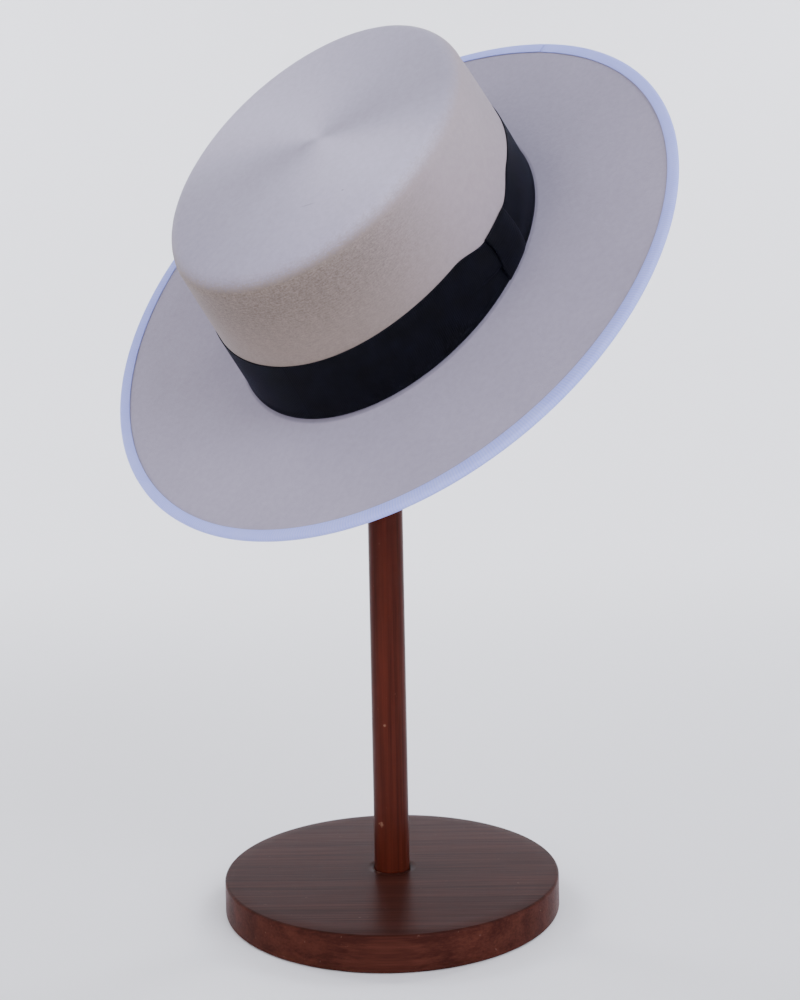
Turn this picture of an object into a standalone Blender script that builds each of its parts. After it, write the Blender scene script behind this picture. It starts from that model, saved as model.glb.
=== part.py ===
# A flat-brimmed Spanish riding hat of felt, with a ribbon band, a flat knot and a bound
# edge, hanging by the back corner of its crown on a turned wooden display stand.
# Metres, +Z up, origin at the middle of the stand's underside. The hat's own frame has
# its crown upright, +X to the wearer's back and -Y to the wearer's left.
import math

import bmesh
import bpy
import numpy as np
from mathutils import Matrix, Vector

for leftover in list(bpy.data.objects):
    bpy.data.objects.remove(leftover)

# Felt: crown and brim are one blocked piece.
CROWN_LENGTH = 0.2104       # outside, front to back, where the wall meets the brim
CROWN_WIDTH = 0.1696        # outside, ear to ear, at the same place
CROWN_HEIGHT = 0.0860       # from the brim up to the edge of the tip
TIP_DOME = 0.0008           # rise of the tip's middle over its edge
SHOULDER_RADIUS = 0.0115
BREAK_RADIUS = 0.0020       # hollow of the turn from wall to brim
FELT_WALL = 0.0022
BRIM_LENGTH = 0.3560        # over the binding, front to back
BRIM_WIDTH = 0.3301         # over the binding, side to side
BRIM_TO_FRONT = 0.0024      # the brim's oval lies this far forward of the crown's
BRIM_TO_RIGHT = 0.0019      # and this far to the wearer's right
BRIM_RISE = 0.0047          # height of the brim's edge over its root

# Ribbon: band, knot and binding.
RIBBON_WALL = 0.0010
BAND_TOP = 0.0353           # top edge of the band over the brim's root
BAND_FOOT = 0.0015          # lower edge of the band over the brim's root
BAND_FLARE = 0.0003         # the foot rides out on the brim's turn
GATHER_DROP = 0.0061        # the knot pulls the band's top edge down by this
GATHER_LIFT = 0.0014        # and its lower edge up by this
GATHER_REACH = 0.0240       # the edges run back to their full height over this length
PLEAT_HEIGHT = 0.0011       # ridge that the gathered ribbon folds up beside the knot
PLEAT_TO_FRONT = 0.0300     # length of that ridge towards the front
PLEAT_TO_BACK = 0.0460      # and towards the back
KNOT_WIDTH = 0.0230         # length of the knot's wrap along the band
KNOT_FORWARD = 0.0075       # its middle lies this far forward of the left side's middle
KNOT_PUFF = 0.0008          # its middle stands out by this
KNOT_ROOT = 0.0005          # its tucked edges stop this far off the felt
BINDING_REACH = 0.0043      # width of the binding on each face of the brim

# Stand.
BASE_DIAMETER = 0.1800
BASE_THICKNESS = 0.0180
BASE_EASING = 0.0014
POST_DIAMETER = 0.0190
POST_TOP = 0.4649           # top of the rounded end over the underside
POST_EASING = 0.0008
SOCKET_DEPTH = 0.0120
SOCKET_CHAMFER = 0.0007

# How the hat hangs: its crown leans by the tilt, towards the heading, which turns from
# -Y about +Z; a turn of 90 degrees about the crown's axis puts its back straight uphill.
HAT_TILT = math.radians(54.0)
HAT_HEADING = math.radians(-33.15)
HAT_TURN = math.radians(87.7)
SEAT_TO_LEFT = 0.0016       # the post meets the crown this far left of its middle line

FIT_GAP = 0.0003            # clearance between pieces that touch

# Stations round each shape, and rows of its turns.
HAT_STEPS = 72
LEFT_SIDE = math.radians(270)
CLOSE_STATIONS = math.radians(45)
KNOT_STEPS = 8
TURNED_STEPS = 48
SHOULDER_ROWS = 4
BREAK_ROWS = 3
FOLD_ROWS = 4
EASING_ROWS = 3
DOME_ROWS = 5

# Crown wall: share of the crown's height, share of its length, share of its width.
CROWN_WALL = (
    (0.00, 1.000, 1.000),
    (0.41, 0.944, 0.995),
    (0.87, 0.894, 0.950),
)

# Tip: share of its flat reach, share of its dome.
TIP_ROWS = (
    (0.14, 1.00),
    (0.60, 0.60),
    (1.00, 0.00),
)

# Rows of the loft down the wall and out over the brim, as shares of the way.
WALL_ROWS = (0.35, 0.70, 1.00)
BRIM_ROWS = (0.30, 0.68, 1.00)

# Slow wave of the brim's edge: waves round it, share of the rise from back to front,
# share of the rise from right to left.
EDGE_WAVE = (
    (1, -0.33, -0.32),
    (2, -0.26, -0.11),
    (3, -0.12, -0.06),
)

# Band: share of its own height, share of the pleat's ridge, share of the foot's flare.
BAND_ROWS = (
    (1.00, 0.00, 0.0),
    (0.75, 0.45, 0.0),
    (0.50, 1.00, 0.0),
    (0.25, 0.45, 0.0),
    (0.08, 0.10, 0.2),
    (0.00, 0.00, 1.0),
)

# Knot, from its lower tuck up: share of its height, share of its stand-off from the felt,
# share of its puff.
KNOT_ROWS = (
    (0.00, 0.00, 0.0),
    (0.00, 0.95, 0.0),
    (0.10, 1.00, 0.2),
    (0.30, 1.00, 0.8),
    (0.50, 1.00, 1.0),
    (0.70, 1.00, 0.8),
    (0.90, 1.00, 0.2),
    (1.00, 0.95, 0.0),
    (1.00, 0.00, 0.0),
)

# Binding on each face of the brim, as shares of its reach in from the edge.
BINDING_ROWS = (1.0, 0.5, 0.0)


def smooth_step(share):
    share = min(max(share, 0.0), 1.0)
    return share * share * (3 - 2 * share)


def crown_oval(height, standoff=0.0):
    # Half length and half width of the crown's outside at a height, on smooth curves
    # through the rows of CROWN_WALL.
    heights, lengths, widths = np.array(CROWN_WALL).T
    place = height / CROWN_HEIGHT
    length_share = np.polyval(np.polyfit(heights, lengths, 2), place)
    width_share = np.polyval(np.polyfit(heights, widths, 2), place)
    return CROWN_LENGTH / 2 * length_share + standoff, CROWN_WIDTH / 2 * width_share + standoff


def oval_point(halves, angle, height):
    return Vector((halves[0] * math.cos(angle), halves[1] * math.sin(angle), height))


def stations(steps=HAT_STEPS):
    return [2 * math.pi * step / steps for step in range(steps)]


def oval_ring(halves, height):
    return [oval_point(halves, angle, height) for angle in stations()]


def felt_edge(angle):
    # Edge of the felt, inside the fold of the binding.
    fold = FELT_WALL / 2 + FIT_GAP + RIBBON_WALL
    halves = (BRIM_LENGTH / 2 - fold, BRIM_WIDTH / 2 - fold)
    return oval_point(halves, angle, 0) + Vector((-BRIM_TO_FRONT, BRIM_TO_RIGHT, 0))


def edge_height(angle):
    wave = sum(back * math.cos(waves * angle) + right * math.sin(waves * angle)
               for waves, back, right in EDGE_WAVE)
    return BRIM_RISE * (1 + wave)


def brim_point(angle, inward=0.0, lift=0.0, way=1.0):
    # Point on the brim's upper face: a share of the way out, less a length inward. The
    # face curves up towards its edge.
    root = oval_point(crown_oval(BREAK_RADIUS, BREAK_RADIUS), angle, 0)
    edge = felt_edge(angle)
    share = way - inward / (edge - root).length
    point = root.lerp(edge, share)
    point.z = edge_height(angle) * share * share + lift
    return point


def felt_rings():
    # Upper face of the felt, from the tip's middle out to the brim's edge.
    rings = []
    wall_top = CROWN_HEIGHT - SHOULDER_RADIUS
    flat = [half - SHOULDER_RADIUS for half in crown_oval(wall_top)]
    for share, dome in TIP_ROWS:
        halves = [half * share for half in flat]
        rings.append(oval_ring(halves, CROWN_HEIGHT + TIP_DOME * dome))
    for row in range(1, SHOULDER_ROWS + 1):
        bend = math.radians(90) * row / SHOULDER_ROWS
        halves = [half + SHOULDER_RADIUS * math.sin(bend) for half in flat]
        rings.append(oval_ring(halves, wall_top + SHOULDER_RADIUS * math.cos(bend)))
    for share in WALL_ROWS:
        height = wall_top + (BREAK_RADIUS - wall_top) * share
        rings.append(oval_ring(crown_oval(height), height))
    for row in range(1, BREAK_ROWS + 1):
        bend = math.radians(90) * row / BREAK_ROWS
        halves = crown_oval(BREAK_RADIUS, BREAK_RADIUS * (1 - math.cos(bend)))
        rings.append(oval_ring(halves, BREAK_RADIUS * (1 - math.sin(bend))))
    for way in BRIM_ROWS:
        rings.append([brim_point(angle, way=way) for angle in stations()])
    return rings


def from_knot(angle):
    # Length along the hat from the knot's middle, back positive; endless on the right side.
    if math.sin(angle) > 0:
        return math.inf
    return crown_oval(BAND_FOOT)[0] * math.cos(angle) + KNOT_FORWARD


def gather(angle):
    # 1 under the knot, falling to 0 at the end of the gather's reach.
    return 1 - smooth_step((abs(from_knot(angle)) - KNOT_WIDTH / 2) / GATHER_REACH)


def pleat(angle):
    # 1 under the knot, fading along the band each way.
    beyond = from_knot(angle)
    reach = PLEAT_TO_BACK if beyond > 0 else PLEAT_TO_FRONT
    return 1 - smooth_step((abs(beyond) - KNOT_WIDTH / 2) / reach)


def band_foot(angle):
    return BAND_FOOT + GATHER_LIFT * gather(angle)


def band_top(angle):
    return BAND_TOP - GATHER_DROP * gather(angle)


def band_angles():
    # Stations round the band, twice as close on the side that carries the knot.
    return [angle for step, angle in enumerate(stations(2 * HAT_STEPS))
            if step % 2 == 0 or abs(angle - LEFT_SIDE) < CLOSE_STATIONS]


def band_rings():
    # Inner face of the band. Under the knot it is lifted clear of the brim's turn.
    rings = []
    for share, ridge, flare in BAND_ROWS:
        points = []
        for angle in band_angles():
            foot = band_foot(angle)
            height = foot + (band_top(angle) - foot) * share
            flared = BAND_FLARE * flare * (1 - gather(angle))
            standoff = FIT_GAP + flared + PLEAT_HEIGHT * ridge * pleat(angle)
            points.append(oval_point(crown_oval(height, standoff), angle, height))
        rings.append(points)
    return rings


def knot_point(share, row):
    # Inner face of the knot: a share of the way back along its width, and a row of its wrap.
    height_share, out, puff = row
    along = KNOT_WIDTH * (share - 0.5) - KNOT_FORWARD
    angle = -math.acos(along / crown_oval(BAND_FOOT)[0])
    foot = band_foot(angle) - FIT_GAP
    top = band_top(angle) + FIT_GAP
    height = foot + (top - foot) * height_share
    front = FIT_GAP + RIBBON_WALL + FIT_GAP
    crest = PLEAT_HEIGHT + KNOT_PUFF * math.sin(math.pi * share)
    standoff = KNOT_ROOT + (front - KNOT_ROOT) * out + crest * puff
    return oval_point(crown_oval(height, standoff), angle, height)


def binding_rings():
    # Inner face of the binding: in over the felt, round the fold and back underneath.
    rings = []
    middle = -FELT_WALL / 2
    fold = FELT_WALL / 2 + FIT_GAP
    for share in BINDING_ROWS:
        inward = BINDING_REACH * share
        rings.append([brim_point(angle, inward, middle + fold) for angle in stations()])
    for row in range(1, FOLD_ROWS):
        bend = math.radians(180) * row / FOLD_ROWS
        outward = fold * math.sin(bend)
        lift = middle + fold * math.cos(bend)
        rings.append([brim_point(angle, -outward, lift) for angle in stations()])
    for share in reversed(BINDING_ROWS):
        inward = BINDING_REACH * share
        rings.append([brim_point(angle, inward, middle - fold) for angle in stations()])
    return rings


def seat_in_crown():
    # Centre of the post's rounded end in the hat's frame, in the crown's back corner.
    reach = POST_DIAMETER / 2 + FIT_GAP + FELT_WALL
    height = CROWN_HEIGHT - reach
    slope = (crown_oval(height)[0] - crown_oval(0)[0]) / height
    along = crown_oval(height)[0] - reach * math.hypot(1, slope)
    return Vector((along, -SEAT_TO_LEFT, height))


def material(name, colour, roughness):
    made = bpy.data.materials.new(name)
    made.use_nodes = True
    shader = made.node_tree.nodes["Principled BSDF"]
    shader.inputs["Base Color"].default_value = (*colour, 1.0)
    shader.inputs["Roughness"].default_value = roughness
    shader.inputs["Metallic"].default_value = 0.0
    return made


def add_object(name, mesh, finish, parent=None):
    made = bpy.data.objects.new(name, mesh)
    pieces.objects.link(made)
    made.parent = parent
    mesh.materials.append(finish)
    mesh.shade_smooth()
    mesh.set_sharp_from_angle(angle=math.radians(40))
    return made


def mesh_of(shape, name):
    mesh = bpy.data.meshes.new(name)
    shape.to_mesh(mesh)
    shape.free()
    return mesh


def lofted(name, rings, capped=False):
    # Faces between rings of points, facing out where the rings run outward and down; a
    # cap closes the first ring with a fan.
    shape = bmesh.new()
    rows = [[shape.verts.new(point) for point in points] for points in rings]
    for upper, lower in zip(rows, rows[1:]):
        for step in range(len(upper)):
            shape.faces.new((upper[step - 1], lower[step - 1], lower[step], upper[step]))
    if capped:
        middle = shape.verts.new((0, 0, rings[0][0].z))
        for step in range(len(rows[0])):
            shape.faces.new((middle, rows[0][step - 1], rows[0][step]))
    return mesh_of(shape, name)


def patch(name, place, columns, rows):
    # A grid whose vertices are moved to the places of their shares along and across.
    shape = bmesh.new()
    bmesh.ops.create_grid(shape, x_segments=columns, y_segments=len(rows) - 1, size=0.5)
    for vert in shape.verts:
        row = rows[round((vert.co.y + 0.5) * (len(rows) - 1))]
        vert.co = place(vert.co.x + 0.5, row)
    return mesh_of(shape, name)


def give_wall(made, thickness, offset):
    wall = made.modifiers.new("Wall", "SOLIDIFY")
    wall.thickness = thickness
    wall.offset = offset
    wall.use_even_offset = True
    wall.use_quality_normals = True


def arc(middle, radius, start, end, rows):
    # Points of an arc in the profile's plane, angles in degrees from +X towards +Z.
    points = []
    for row in range(rows + 1):
        bend = math.radians(start + (end - start) * row / rows)
        points.append((middle[0] + radius * math.cos(bend), middle[1] + radius * math.sin(bend)))
    return points


def turned(name, profile, finish):
    # A profile in the XZ plane, run from top to bottom, swept round Z.
    shape = bmesh.new()
    verts = [shape.verts.new((out, 0, height)) for out, height in profile]
    for upper, lower in zip(verts, verts[1:]):
        shape.edges.new((upper, lower))
    made = add_object(name, mesh_of(shape, name), finish)
    sweep = made.modifiers.new("Sweep", "SCREW")
    sweep.steps = TURNED_STEPS
    sweep.render_steps = TURNED_STEPS
    sweep.use_merge_vertices = True
    sweep.merge_threshold = 0.00001
    sweep.use_smooth_shade = True
    return made


pieces = bpy.data.collections.new("spanish_riding_hat")
bpy.context.scene.collection.children.link(pieces)

felt = material("felt", (0.46, 0.43, 0.42), 0.95)
band_ribbon = material("band ribbon", (0.012, 0.012, 0.018), 0.75)
binding_ribbon = material("binding ribbon", (0.62, 0.66, 0.80), 0.80)
stained_wood = material("stained wood", (0.085, 0.026, 0.018), 0.42)

# The post stands in a socket of the base, and its rounded end carries the hat.
socket_floor = BASE_THICKNESS - SOCKET_DEPTH
socket_radius = POST_DIAMETER / 2 + FIT_GAP
base_radius = BASE_DIAMETER / 2
base_profile = [
    (0, socket_floor),
    (socket_radius, socket_floor),
    (socket_radius, BASE_THICKNESS - SOCKET_CHAMFER),
    (socket_radius + SOCKET_CHAMFER, BASE_THICKNESS),
]
base_profile += arc((base_radius - BASE_EASING, BASE_THICKNESS - BASE_EASING),
                    BASE_EASING, 90, 0, EASING_ROWS)
base_profile += arc((base_radius - BASE_EASING, BASE_EASING),
                    BASE_EASING, 0, -90, EASING_ROWS)
base_profile += [(0, 0)]
turned("stand_base", base_profile, stained_wood)

post_foot = socket_floor + FIT_GAP
post_radius = POST_DIAMETER / 2
post_profile = [(0, POST_TOP)]
post_profile += arc((0, POST_TOP - post_radius), post_radius, 90, 0, DOME_ROWS)[1:]
post_profile += [
    (post_radius, post_foot + POST_EASING),
    (post_radius - POST_EASING, post_foot),
    (0, post_foot),
]
turned("stand_post", post_profile, stained_wood)

# The hat's frame, placed so that the post's rounded end seats in the crown's back corner.
lean = (Matrix.Rotation(HAT_HEADING, 4, "Z") @ Matrix.Rotation(HAT_TILT, 4, "X")
        @ Matrix.Rotation(HAT_TURN, 4, "Z"))
post_end = Vector((0, 0, POST_TOP - post_radius))
hat_frame = bpy.data.objects.new("hat_frame", None)
pieces.objects.link(hat_frame)
hat_frame.matrix_world = Matrix.Translation(post_end - lean @ seat_in_crown()) @ lean

felt_body = add_object("felt_body", lofted("felt_body", felt_rings(), capped=True), felt, hat_frame)
give_wall(felt_body, FELT_WALL, -1)

hat_band = add_object("hat_band", lofted("hat_band", band_rings()), band_ribbon, hat_frame)
give_wall(hat_band, RIBBON_WALL, 1)

band_knot = add_object("band_knot", patch("band_knot", knot_point, KNOT_STEPS, KNOT_ROWS),
                       band_ribbon, hat_frame)
give_wall(band_knot, RIBBON_WALL, 1)

edge_binding = add_object("edge_binding", lofted("edge_binding", binding_rings()),
                          binding_ribbon, hat_frame)
give_wall(edge_binding, RIBBON_WALL, 1)
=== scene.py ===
import math

import bmesh
import bpy
from mathutils import Matrix, Vector, noise


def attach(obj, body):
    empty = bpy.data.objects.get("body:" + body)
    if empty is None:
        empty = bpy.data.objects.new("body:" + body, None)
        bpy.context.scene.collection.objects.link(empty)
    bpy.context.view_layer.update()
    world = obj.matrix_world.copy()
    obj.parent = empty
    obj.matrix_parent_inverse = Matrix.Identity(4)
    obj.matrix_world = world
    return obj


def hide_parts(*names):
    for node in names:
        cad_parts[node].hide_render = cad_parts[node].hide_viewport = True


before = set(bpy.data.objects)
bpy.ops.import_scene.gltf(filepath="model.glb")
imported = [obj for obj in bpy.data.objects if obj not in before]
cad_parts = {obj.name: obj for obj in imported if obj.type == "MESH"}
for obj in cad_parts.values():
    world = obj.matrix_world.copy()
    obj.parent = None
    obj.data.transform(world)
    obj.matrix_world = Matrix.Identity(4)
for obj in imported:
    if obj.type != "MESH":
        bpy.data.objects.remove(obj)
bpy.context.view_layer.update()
print("frame loaded")

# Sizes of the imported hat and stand, in metres. The hat's own frame has its crown
# upright, +X to the wearer's back and +Y to the wearer's right.
feltBlock = {
    "crownLength": 0.2104,
    "crownWidth": 0.1696,
    "crownHeight": 0.0860,
    "tipDome": 0.0008,
    "shoulderRadius": 0.0115,
    "breakRadius": 0.0020,
    "wall": 0.0022,
    "brimLength": 0.3560,
    "brimWidth": 0.3301,
    "brimToFront": 0.0024,
    "brimToRight": 0.0019,
    "brimRise": 0.0047,
    # share of the crown's height, of its length and of its width
    "crownWall": ((0.00, 1.000, 1.000), (0.41, 0.944, 0.995), (0.87, 0.894, 0.950)),
    # waves round the edge, share of the rise back to front, and right to left
    "edgeWave": ((1, -0.33, -0.32), (2, -0.26, -0.11), (3, -0.12, -0.06)),
    "stations": 240,
    "tipRows": 14, "shoulderRows": 10, "wallRows": 14, "breakRows": 5, "brimRows": 16,
    "settleOnBrim": 0.00066,  # how far the felt has moved from true, at mid brim
    "settleOnTip": 0.00044,   # and on the tip
    "settleSpan": 0.055,
    "settleStart": (3.1, 7.7, 1.3),
    "brimFade": (0.3, 0.25),  # the brim settles less this near its root and its edge
    "tipFade": 0.3,           # and the tip this near the shoulder
}

ribbonBand = {
    "wall": 0.00048,
    "gap": 0.00012,
    "top": 0.0353,
    "foot": 0.0012,
    "footFlare": 0.0005,
    "dip": 0.0010,           # its top edge sags a little at the front
    "dipAngle": math.radians(-162),
    "dipSpan": math.radians(30),
    "gatherDrop": 0.0061,
    "gatherLift": 0.0001,
    "gatherReach": 0.0240,
    "pleatToFront": 0.0340,
    "pleatToBack": 0.0460,
    "creaseHeight": 0.0012,  # ridge in front of the knot, folded over the lower half
    "creaseLine": 0.43,      # its place up the band
    "creaseDrift": 0.10,     # it climbs by this on its way to the front
    "creaseUnder": 0.075,    # and is this steep below
    "ridgeHeight": 0.0010,   # softer ridge behind the knot
    "ridgeLine": 0.42,
    "ridgeSpread": 0.24,
    "flatEdge": 0.12,        # the ribbon lies flat along this share of it at each edge
    "flareShare": 0.10,
    "stations": 360,
    "rows": 40,
}

ribbonKnot = {
    "width": 0.0232,
    "forward": 0.0092,  # its middle lies this far forward of the left side's middle
    "sway": 0.0011,     # its front edge runs in a slight S
    "slant": 0.0015,    # its top leans forward and its foot back by this
    "puff": 0.0010,
    "root": 0.0005,
    "over": 0.00018,     # its wrap clears the band by this
    "thinnedBack": 0.3,  # its back edge is pressed this thin
    "thinnedFrom": 0.8,  # from this share of its width on
    "length": 0.034,     # of its visible wrap, for the ribs
    "columns": 22,
    # rows of the wrap from its lower tuck up: height share, stand-off share, puff share
    "wrap": ((0.00, 0.00, 0.0), (0.00, 0.60, 0.0), (0.01, 0.92, 0.0), (0.05, 1.00, 0.15),
             (0.12, 1.00, 0.4), (0.22, 1.00, 0.7), (0.32, 1.00, 0.88), (0.43, 1.00, 1.0),
             (0.55, 1.00, 1.0), (0.66, 1.00, 0.9), (0.77, 1.00, 0.7), (0.87, 1.00, 0.4),
             (0.95, 1.00, 0.15), (0.99, 0.92, 0.0), (1.00, 0.60, 0.0), (1.00, 0.00, 0.0)),
}

brimBinding = {
    "wall": 0.00055,
    "reach": 0.0042,
    "reachWave": (0.00085, 3, math.radians(12)),  # it was sewn on a little unevenly
    "puff": 0.00012,
    "pressed": 0.0001,  # its sewn edges are pulled this close to the felt
    "pressedFrom": 0.6,
    "rows": (1.0, 0.93, 0.8, 0.65, 0.5, 0.35, 0.2, 0.08, 0.0),  # shares of its reach
    "foldRows": 8,
    "flatWidth": 0.014,  # for the ribs
    "tuck": 0.0004,      # its cut ends are turned in by this at the join
    "tuckSpan": 0.0035,
    "joinAngle": math.radians(-17.5),
    "joinGap": 0.0003,
    "stations": 420,
}

stand = {
    "baseDiameter": 0.1800,
    "baseThickness": 0.0180,
    "baseEasing": 0.0014,
    "postDiameter": 0.0190,
    "postTop": 0.4649,
    "postEasing": 0.0008,
    "socketDepth": 0.0120,
    "socketChamfer": 0.0007,
    "socketRim": 0.0040,     # the rings of its flat top start this far from the socket
    "sharpAngle": math.radians(50),
    "stations": 144, "postStations": 64,
    "easingRows": 6, "topRows": 10, "endRows": 12, "postRows": 90,
}

hang = {
    "tilt": math.radians(54.0),
    "heading": math.radians(-33.15),
    "turn": math.radians(87.7),
    "seatToLeft": 0.0016,
}

fitGap = 0.0003


# the hat's shape

def smoothStep(share):
    share = min(max(share, 0.0), 1.0)
    return share * share * (3 - 2 * share)


def throughRows(rows, column, place):
    # smooth curve through three rows
    total = 0.0
    for row in rows:
        weight = 1.0
        for other in rows:
            if other is not row:
                weight *= (place - other[0]) / (row[0] - other[0])
        total += weight * row[column]
    return total


def crownHalves(height, standoff=0.0):
    place = height / feltBlock["crownHeight"]
    lengthShare = throughRows(feltBlock["crownWall"], 1, place)
    widthShare = throughRows(feltBlock["crownWall"], 2, place)
    return (feltBlock["crownLength"] / 2 * lengthShare + standoff,
            feltBlock["crownWidth"] / 2 * widthShare + standoff)


def ovalPoint(halves, angle, height):
    return Vector((halves[0] * math.cos(angle), halves[1] * math.sin(angle), height))


def edgeHalves():
    fold = feltBlock["wall"] / 2 + fitGap + brimBinding["wall"]
    return feltBlock["brimLength"] / 2 - fold, feltBlock["brimWidth"] / 2 - fold


def feltEdge(angle):
    shift = Vector((-feltBlock["brimToFront"], feltBlock["brimToRight"], 0))
    return ovalPoint(edgeHalves(), angle, 0) + shift


def edgeHeight(angle):
    wave = sum(back * math.cos(waves * angle) + right * math.sin(waves * angle)
               for waves, back, right in feltBlock["edgeWave"])
    return feltBlock["brimRise"] * (1 + wave)


def brimPoint(angle, inward=0.0, lift=0.0, way=1.0):
    # on the brim's upper face, a share of the way out, less a length inward
    bend = feltBlock["breakRadius"]
    root = ovalPoint(crownHalves(bend, bend), angle, 0)
    edge = feltEdge(angle)
    share = way - inward / (edge - root).length
    point = root.lerp(edge, share)
    point.z = edgeHeight(angle) * share * share + lift
    return point


def settled(point, most):
    # the slow unevenness of felt that has been worn and steamed
    place = point / feltBlock["settleSpan"] + Vector(feltBlock["settleStart"])
    return noise.noise(place) * most


hatTurn = (Matrix.Rotation(hang["heading"], 4, "Z") @ Matrix.Rotation(hang["tilt"], 4, "X")
           @ Matrix.Rotation(hang["turn"], 4, "Z"))
seatReach = stand["postDiameter"] / 2 + fitGap + feltBlock["wall"]
seatHeight = feltBlock["crownHeight"] - seatReach
seatSlope = (crownHalves(seatHeight)[0] - crownHalves(0)[0]) / seatHeight
seat = Vector((crownHalves(seatHeight)[0] - seatReach * math.hypot(1, seatSlope),
               -hang["seatToLeft"], seatHeight))
postEnd = Vector((0, 0, stand["postTop"] - stand["postDiameter"] / 2))
hatPlace = Matrix.Translation(postEnd - hatTurn @ seat) @ hatTurn


# camera and stage

view = {
    "distance": 0.6071,
    "height": 0.2403,
    "pitchDown": math.radians(2.1337),
    "roll": math.radians(-1.1131),
    "yaw": math.radians(-0.7674),
    "lens": 40.616,  # for a 36 mm wide long side
}


def placeCamera():
    pitch, roll = view["pitchDown"], view["roll"]
    yaw = Matrix.Rotation(view["yaw"], 3, "Z")
    forward = yaw @ Vector((0, math.cos(pitch), -math.sin(pitch)))
    upright = yaw @ Vector((0, math.sin(pitch), math.cos(pitch)))
    side = yaw @ Vector((1, 0, 0))
    right = side * math.cos(roll) + upright * math.sin(roll)
    up = upright * math.cos(roll) - side * math.sin(roll)
    data = bpy.data.cameras.new("photoCamera")
    data.lens = view["lens"]
    data.sensor_width = 36.0
    data.clip_start = 0.02
    camera = bpy.data.objects.new("photoCamera", data)
    bpy.context.scene.collection.objects.link(camera)
    matrix = Matrix((right, up, -forward)).transposed().to_4x4()
    matrix.translation = (0, -view["distance"], view["height"])
    camera.matrix_world = matrix
    bpy.context.scene.camera = camera


# materials

def linear(hexCode):
    parts = [int(hexCode[start:start + 2], 16) / 255 for start in (1, 3, 5)]
    light = [part / 12.92 if part <= 0.04045 else ((part + 0.055) / 1.055) ** 2.4 for part in parts]
    return (*light, 1.0)


def addNode(tree, kind, settings=None, values=None, links=None):
    node = tree.nodes.new("ShaderNode" + kind)
    for name, value in (settings or {}).items():
        setattr(node, name, value)
    for name, value in (values or {}).items():
        node.inputs[name].default_value = value
    for name, source in (links or {}).items():
        tree.links.new(source, node.inputs[name])
    return node


def newMaterial(name, shaderValues):
    made = bpy.data.materials.new(name)
    made.use_nodes = True
    shader = made.node_tree.nodes["Principled BSDF"]
    for socket, value in shaderValues.items():
        shader.inputs[socket].default_value = value
    return made, made.node_tree, shader


noiseSpan = (0.3, 0.7)  # nearly all of a noise pattern's values lie between these

feltLook = {
    "brim": "#a09aac",      # ironed nap of the brim
    "tip": "#aea9bc",       # the tip is brushed up paler
    "tipFront": "#a29db1",
    "left": "#a4979c",      # crown's side towards the light
    "front": "#8f8179",     # crown's front is handled more and warmer, and darker as painted shade of the side turned from the light
    "fleck": "#62574f",
    "paintedSheenSpread": 0.20,      # how much the painted sheen of the nap's swirl lightens and darkens the tip
    "fanMiddle": (0.0002, -0.0086),
    "fanSoftness": 0.000006,  # square metres, which blur the very middle
    "brightFan": math.radians(59),
    "darkFan": math.radians(122.5),
    # marks on the tip: middle, half length, half width, heading, how dark; the first, from the tip's
    # middle, is painted shade of a small dent
    "marks": (
        ((-0.0030, -0.0022, 0.0866), 0.0090, 0.0030, math.radians(-45), 0.09),
        ((-0.0470, -0.0240, 0.0866), 0.0052, 0.0006, math.radians(-77), 0.30),
        ((-0.0399, -0.0407, 0.0866), 0.0008, 0.0008, 0.0, 0.45),
    ),
    "napSize": 0.0008,      # tufts, drawn coarser than the real 0.3 mm to show
    "fibre": (0.0028, 0.0006),  # length and width of the brushed fibres round the crown
    "fibreSlope": math.radians(6),
    "fleckRange": (0.76, 1.28), "fleckAmount": (0.12, 0.90),
    "wander": 0.0045,       # the nap breaks the line of the shoulder by up to this
    "tipFrom": (0.0790, 0.0858),
    # where one finish turns into the next: axis of the hat, from, to, and share at each
    "turns": {
        "wall": ("Z", 0.004, 0.020, 0.0, 1.0),
        "front": ("X", -0.012, -0.094, 0.0, 1.0),
        "underShoulder": ("Z", 0.036, 0.072, 0.35, 1.0),
        "back": ("X", 0.010, 0.120, 1.0, 0.90),  # painted shade: darker towards the back
    },
    "footRing": (1.014, 1.032, 0.60),  # shares of the crown's oval, and the shade of the painted shadow there
    "footRingTop": (0.005, 0.009),
    "mottleSpread": 0.045,
    "cloudScale": 24.0,
    "cloudSpread": 0.02,
    "relief": 0.55, "reliefDepth": 0.00022,
    "mottleSize": 0.0030,
}


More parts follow.
